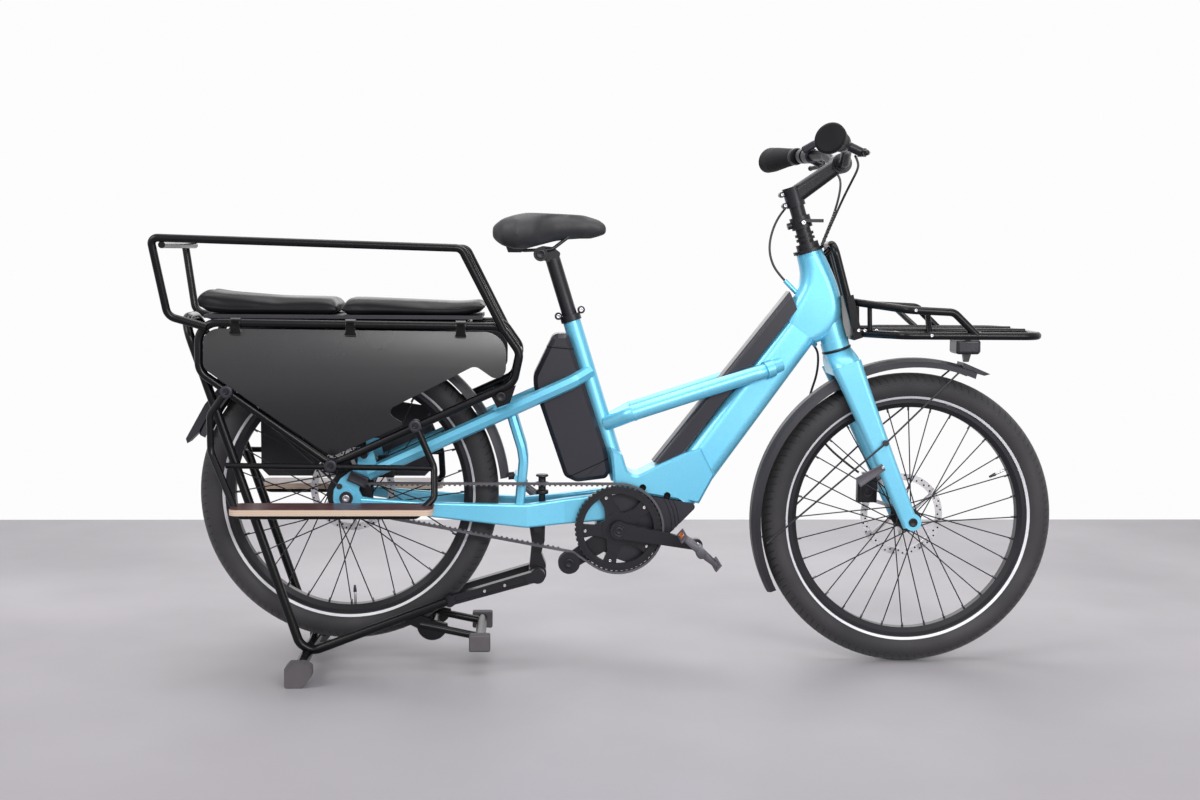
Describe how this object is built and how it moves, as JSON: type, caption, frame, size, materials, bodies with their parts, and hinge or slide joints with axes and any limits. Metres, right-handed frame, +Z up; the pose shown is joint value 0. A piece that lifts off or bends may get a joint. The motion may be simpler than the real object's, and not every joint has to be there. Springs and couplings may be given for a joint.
{
  "type": "electric longtail cargo bike on a floor stand",
  "caption": "Longtail cargo bike with mid motor, belt drive, rear bench with grab rail, footboards and front rack, its rear wheel held in a tubular floor stand.",
  "frame": {"origin": "on the floor under the middle of the bike's length, in its middle plane", "axes": "+X forward, +Y to the rider's left, +Z up"},
  "size_m": [1.8812, 0.7343, 1.1306],
  "materials": {
    "frame_paint": "metallic light blue gloss coat",
    "black_tube": "satin black powder coat",
    "black_alloy": "black anodised, satin",
    "matte_black_plastic": "matt moulded plastic",
    "satin_black_plastic": "satin moulded plastic",
    "tyre_rubber": "dark rubber with a pale sidewall line",
    "cable_rubber": "hose sheath",
    "soft_rubber": "soft rubber",
    "foot_rubber": "grey rubber",
    "disc_steel": "ground steel",
    "belt_rubber": "toothed belt",
    "pad_cover": "soft black vinyl",
    "board_wood": "stained wood with a pale edge",
    "lamp_lens": "clear lens",
    "tail_lens": "red lens",
    "pedal_alloy": "grey cast alloy"
  },
  "bodies": {
    "frame": {"down_tube": "frame_paint", "seat_tube": "frame_paint", "top_tubes": "frame_paint", "seat_stays": "frame_paint", "chain_stays": "frame_paint", "motor": "satin_black_plastic", "battery_cover": "satin_black_plastic", "rear_battery": "satin_black_plastic", "seatpost": "black_alloy", "saddle": "pad_cover", "carrier_loops": "black_tube", "side_panels": "matte_black_plastic", "seat_deck": "matte_black_plastic", "seat_pads": "pad_cover", "grab_rail": "black_tube", "foot_frames": "black_tube", "footboards": "board_wood", "wheel_guard": "matte_black_plastic", "rear_fender": "matte_black_plastic", "rear_light": "tail_lens", "front_rack": "black_tube", "headlight": "satin_black_plastic", "headlight_lens": "lamp_lens", "loop_cable": "cable_rubber", "rear_caliper": "black_alloy", "belt": "belt_rubber", "belt_roller": "black_alloy", "kickstand_mount": "black_alloy", "floor_stand": "black_tube", "stand_feet": "foot_rubber"},
    "steering": {"fork": "frame_paint", "front_fender": "matte_black_plastic", "front_caliper": "black_alloy", "stem": "black_alloy", "handlebar": "black_alloy", "grips": "soft_rubber", "brake_levers": "black_alloy", "bar_controls": "satin_black_plastic", "right_hose": "cable_rubber", "left_hose": "cable_rubber", "fork_hose": "cable_rubber"},
    "front_wheel": {"front_tyre": "tyre_rubber", "front_rim": "black_alloy", "front_rotor": "disc_steel"},
    "rear_wheel": {"rear_tyre": "tyre_rubber", "rear_rim": "black_alloy", "rear_cog": "disc_steel", "rear_rotor": "disc_steel"},
    "crankset": {"sprocket": "black_alloy", "cranks": "black_alloy"},
    "right_pedal": {"pedal_right": "pedal_alloy"},
    "left_pedal": {"pedal_left": "pedal_alloy"},
    "kickstand": {"kickstand_legs": "black_alloy"}
  },
  "joints": [
    {"name": "steering_turn", "type": "hinge", "parent": "frame", "child": "steering", "pos_m": [0.46715, 0, 0.679], "axis": [-0.2924, 0, 0.9563], "range_deg": [-55, 55], "deforming": ["loop_cable", "fork_hose"]},
    {"name": "front_wheel_spin", "type": "hinge", "parent": "steering", "child": "front_wheel", "pos_m": [0.62715, 0, 0.3135], "axis": [0, 1, 0], "continuous": true},
    {"name": "rear_wheel_spin", "type": "hinge", "parent": "frame", "child": "rear_wheel", "pos_m": [-0.56285, 0, 0.368], "axis": [0, 1, 0], "continuous": true},
    {"name": "crank_spin", "type": "hinge", "parent": "frame", "child": "crankset", "pos_m": [0.00215, 0, 0.3005], "axis": [0, 1, 0], "continuous": true},
    {"name": "right_pedal_spin", "type": "hinge", "parent": "crankset", "child": "right_pedal", "pos_m": [0.16439, -0.082, 0.27043], "axis": [0, 1, 0], "continuous": true},
    {"name": "left_pedal_spin", "type": "hinge", "parent": "crankset", "child": "left_pedal", "pos_m": [-0.16009, 0.082, 0.33057], "axis": [0, 1, 0], "continuous": true},
    {"name": "kickstand_fold", "type": "hinge", "parent": "frame", "child": "kickstand", "pos_m": [-0.16685, 0, 0.197], "axis": [0, -1, 0], "range_deg": [0, 20]}
  ]
}
